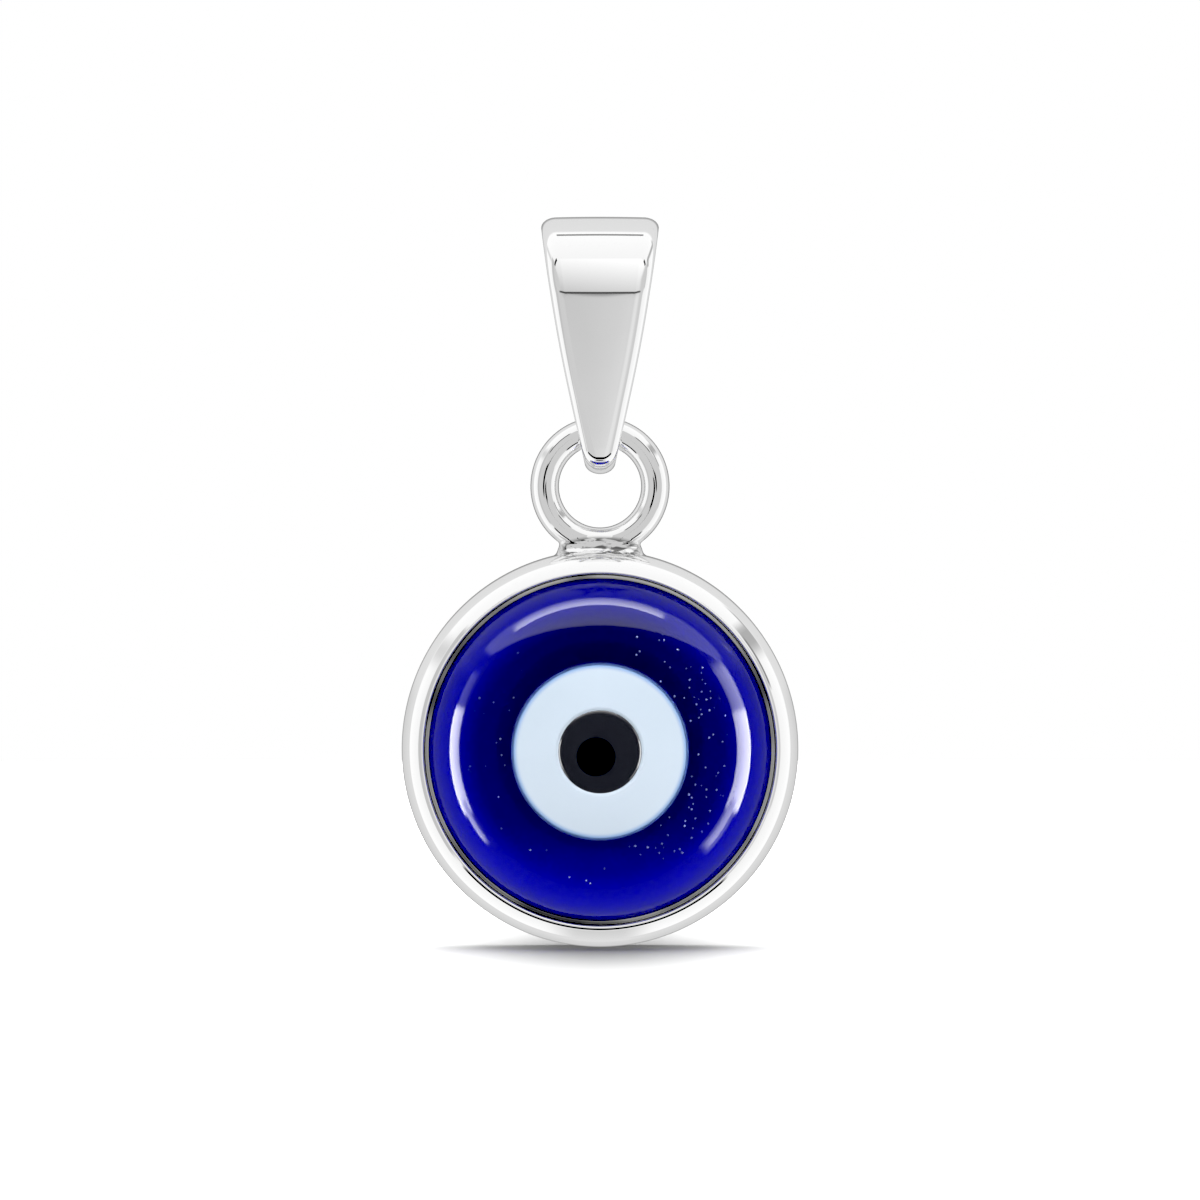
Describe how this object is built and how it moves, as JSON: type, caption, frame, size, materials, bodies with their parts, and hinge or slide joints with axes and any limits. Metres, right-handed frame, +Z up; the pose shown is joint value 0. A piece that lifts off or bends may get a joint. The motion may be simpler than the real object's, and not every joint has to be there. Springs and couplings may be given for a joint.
{
  "type": "evil eye pendant",
  "caption": "Round silver pendant with a domed blue glass eye, hung by a soldered ring from a tapered bail that takes a chain.",
  "frame": {"origin": "the chain seat: the middle of the top of the hollow inside the bail", "axes": "+Z up along the hanging pendant, +X to the right seen from the front, the eye faces -Y"},
  "size_m": [0.0116, 0.0048, 0.0214],
  "materials": {
    "bail_silver": "polished",
    "setting_silver": "polished",
    "cobalt_glass": "gloss",
    "opal_glass": "gloss",
    "black_glass": "gloss"
  },
  "bodies": {
    "bail": {"bail": "bail_silver"},
    "drop": {"setting": "setting_silver", "blue_glass": "cobalt_glass", "eye_white": "opal_glass", "eye_pupil": "black_glass"}
  },
  "joints": [
    {"name": "drop_swing", "type": "hinge", "parent": "bail", "child": "drop", "pos_m": [0, 0, -0.00587], "axis": [1, 0, 0], "range_deg": [-120, 120]}
  ]
}
